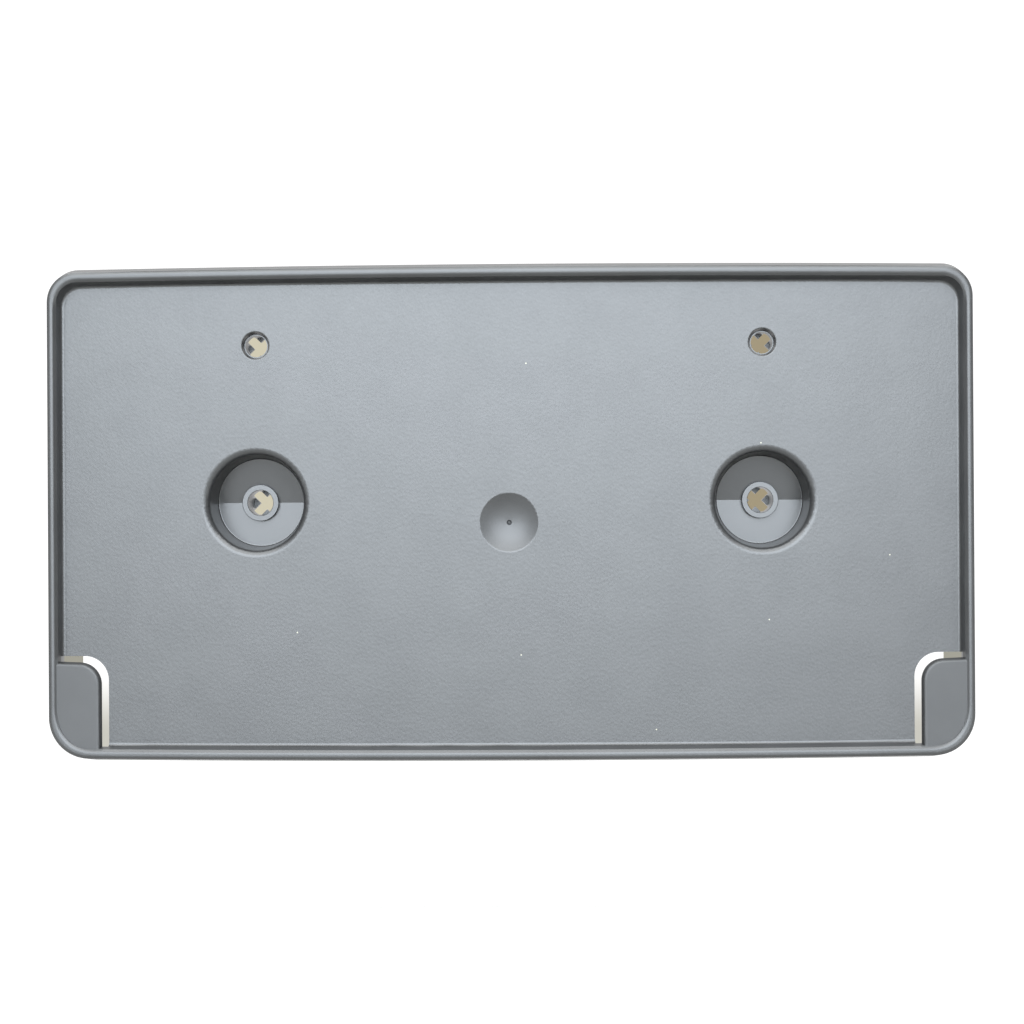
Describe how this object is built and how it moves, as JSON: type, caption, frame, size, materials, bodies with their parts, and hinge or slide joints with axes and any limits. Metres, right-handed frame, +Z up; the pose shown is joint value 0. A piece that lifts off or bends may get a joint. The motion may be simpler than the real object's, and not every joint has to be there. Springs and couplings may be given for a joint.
{
  "type": "number plate holder",
  "caption": "One-piece moulded number plate holder: bowed tray with a raised rim, lower corner tabs that grip the plate, screw pockets for the bumper and a ribbed hollow back.",
  "frame": {"origin": "midway between the bumper screw holes, in the surface that rests on the bumper", "axes": "+X to the right as seen from the front, +Z up, front face toward -Y"},
  "size_m": [0.3288, 0.0431, 0.1757],
  "materials": {
    "charcoal_plastic": "satin, fine moulded grain"
  },
  "bodies": {
    "root": {"plate_holder": "charcoal_plastic"}
  },
  "joints": []
}
